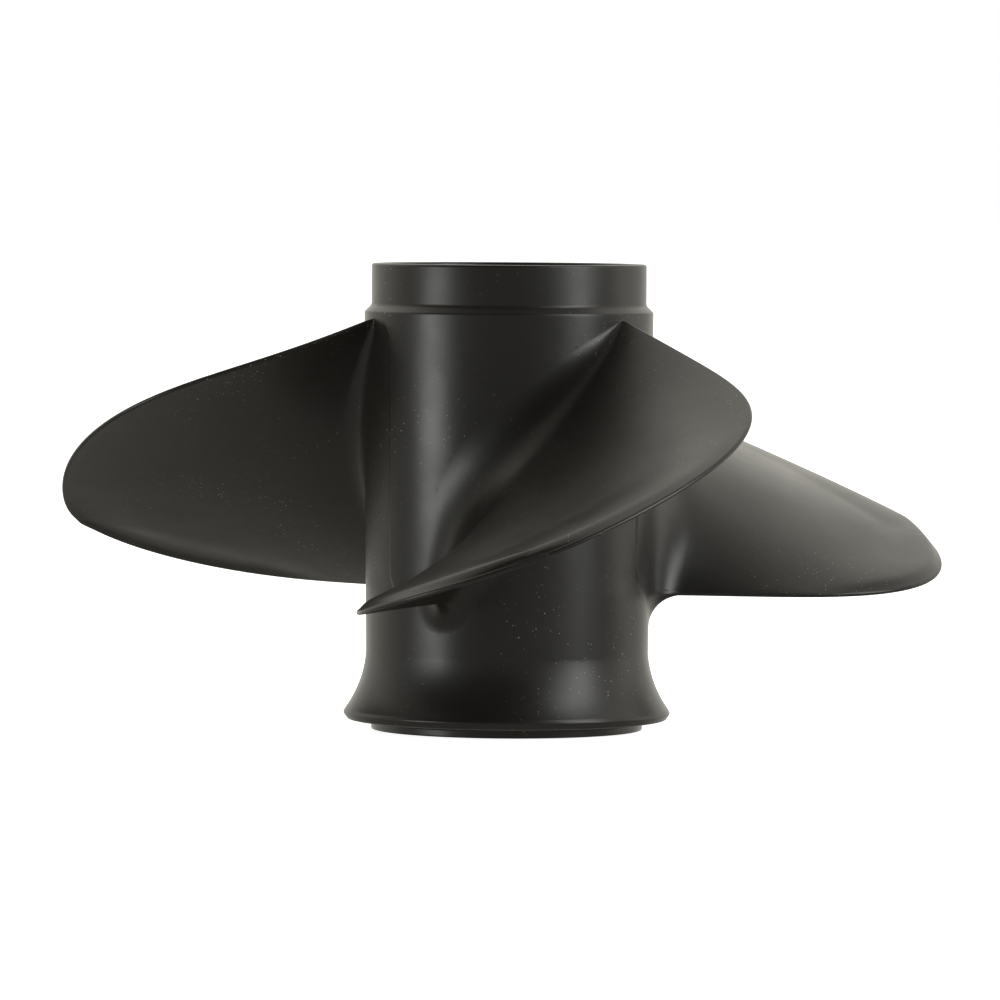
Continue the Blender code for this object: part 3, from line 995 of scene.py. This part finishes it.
def make_world():
    """White to the eye; for reflections, bright at the sides and behind, dim in front and overhead."""
    world = bpy.data.worlds.new("studio")
    bpy.context.scene.world = world
    world.use_nodes = True
    tree = world.node_tree
    tree.nodes.clear()

    def ramp(value, low, high, to_low, to_high):
        return add_ramp(tree, value, low, high, to_low, to_high, interpolation_type="SMOOTHSTEP")

    def combine(first, second, operation="MULTIPLY"):
        return add_node(tree, "ShaderNodeMath", {0: first, 1: second}, operation=operation).outputs[0]

    ways = add_node(tree, "ShaderNodeTexCoord").outputs["Generated"]
    parts = add_node(tree, "ShaderNodeSeparateXYZ", {"Vector": ways}).outputs
    behind = ramp(parts["Y"], -0.35, 0.60, 0.0, 0.85)
    below = ramp(parts["Z"], -0.60, -0.06, 0.30, 1.0)
    above = ramp(parts["Z"], 0.05, 0.60, 1.0, 1.5)
    glare = ramp(parts["Y"], 0.80, 1.0, 1.0, 1.9)
    front = ramp(parts["Z"], 0.15, 0.65, 0.26, 0.01)
    around = combine(combine(combine(behind, below), above), glare)
    level = combine(around, front, "MAXIMUM")
    tint = {0: ROOM_TINT, "Scale": level}
    room = add_node(tree, "ShaderNodeVectorMath", tint, operation="SCALE").outputs[0]
    seen_by_camera = add_node(tree, "ShaderNodeLightPath").outputs["Is Camera Ray"]
    lit = add_node(tree, "ShaderNodeBackground", {"Color": room, "Strength": 1.0}).outputs[0]
    white = {"Color": (1.0, 1.0, 1.0, 1.0), "Strength": 1.0}
    seen = add_node(tree, "ShaderNodeBackground", white).outputs[0]
    surface = add_node(tree, "ShaderNodeMixShader", {"Fac": seen_by_camera, 1: lit, 2: seen}).outputs[0]
    add_node(tree, "ShaderNodeOutputWorld", {"Surface": surface})


def softbox(name, azimuth, elevation, width, height, power):
    """A rectangular light aimed at the propeller; azimuth runs from the camera's side to its right."""
    light = bpy.data.lights.new(name, "AREA")
    light.shape = "RECTANGLE"
    light.size = width
    light.size_y = height
    light.energy = power
    made = link(name, light)
    a, e = math.radians(azimuth), math.radians(elevation)
    target = Vector((0.0, 0.0, LENGTH / 2))
    out = Vector((math.sin(a) * math.cos(e), -math.cos(a) * math.cos(e), math.sin(e)))
    made.location = target + out * LIGHT_DISTANCE
    made.rotation_euler = (-out).to_track_quat("-Z", "Y").to_euler()


def make_camera():
    """A long lens in front of the propeller, a little above its middle and tilted slightly."""
    camera = bpy.data.cameras.new("camera")
    camera.lens = CAMERA_LENS
    camera.sensor_width = 36.0
    camera.clip_end = 100.0
    made = link("camera", camera)
    made.location = CAMERA_PLACE
    turn = Matrix.Identity(4)
    for degrees, axis in ((-CAMERA_YAW, "Z"), (CAMERA_PITCH, "X"), (CAMERA_ROLL, "Z")):
        turn = turn @ Matrix.Rotation(math.radians(degrees), 4, axis)
    made.rotation_mode = "QUATERNION"
    made.rotation_quaternion = turn.to_quaternion()
    bpy.context.scene.camera = made


# ---------------------------------------------------------------- assembly

def place(piece, node, body, slot, material):
    """Gives a piece its material and lets it stand for one node of the frame."""
    piece.name = f"visual_{node}"
    piece.data.materials.clear()
    piece.data.materials.append(material)
    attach(piece, body)
    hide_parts(node)


def make_propeller():
    """Builds every piece and puts it in the place of its CAD solid."""
    alloy = metal_material("cast_housing_alloy", (0.42, 0.42, 0.42), (0.56, 0.56, 0.57), 0.42, 0.58)
    brass = metal_material("sleeve_brass", (0.58, 0.43, 0.19), (0.74, 0.58, 0.29), 0.24, 0.38)
    bronze = metal_material("collar_bronze", (0.52, 0.33, 0.16), (0.66, 0.46, 0.25), 0.26, 0.40)
    steel = metal_material("stainless_steel", (0.52, 0.52, 0.51), (0.66, 0.66, 0.64), 0.22, 0.36)
    spacer = make_ring("spacer", SPACER_RADIUS, SPACER_BORE, SPACER_TOP, SPACER_BOTTOM, 0.0009)
    washer = make_ring("washer", WASHER_RADIUS, WASHER_BORE, WASHER_TOP, WASHER_BOTTOM, 0.0004)
    place(make_casting(), "propeller_casting", "propeller", "painted_casting", paint_material())
    place(make_housing(), "hub_housing", "propeller", "housing_alloy", alloy)
    place(make_cushion(), "rubber_cushion", "propeller", "rubber", rubber_material())
    place(make_sleeve(), "splined_sleeve", "drive_core", "sleeve_brass", brass)
    place(make_thrust_washer(), "forward_thrust_washer", "drive_core", "collar_bronze", bronze)
    place(spacer, "aft_spacer", "drive_core", "collar_bronze", bronze)
    place(washer, "plain_washer", "drive_core", "stainless", steel)
    place(make_nut(), "castle_nut", "drive_core", "stainless", steel)
    place(make_cotter_pin(), "cotter_pin", "drive_core", "stainless", steel)


def main():
    """Builds the propeller and the studio round it."""
    bpy.context.scene.view_settings.view_transform = "Standard"
    make_propeller()
    make_camera()
    make_floor()
    make_world()
    softbox("left_box", azimuth=-62.0, elevation=-2.0, width=0.50, height=0.50, power=8.5)
    softbox("right_box", azimuth=60.0, elevation=25.0, width=0.55, height=1.40, power=15.0)
    softbox("right_side", azimuth=106.0, elevation=6.0, width=0.50, height=0.80, power=0.9)


main()
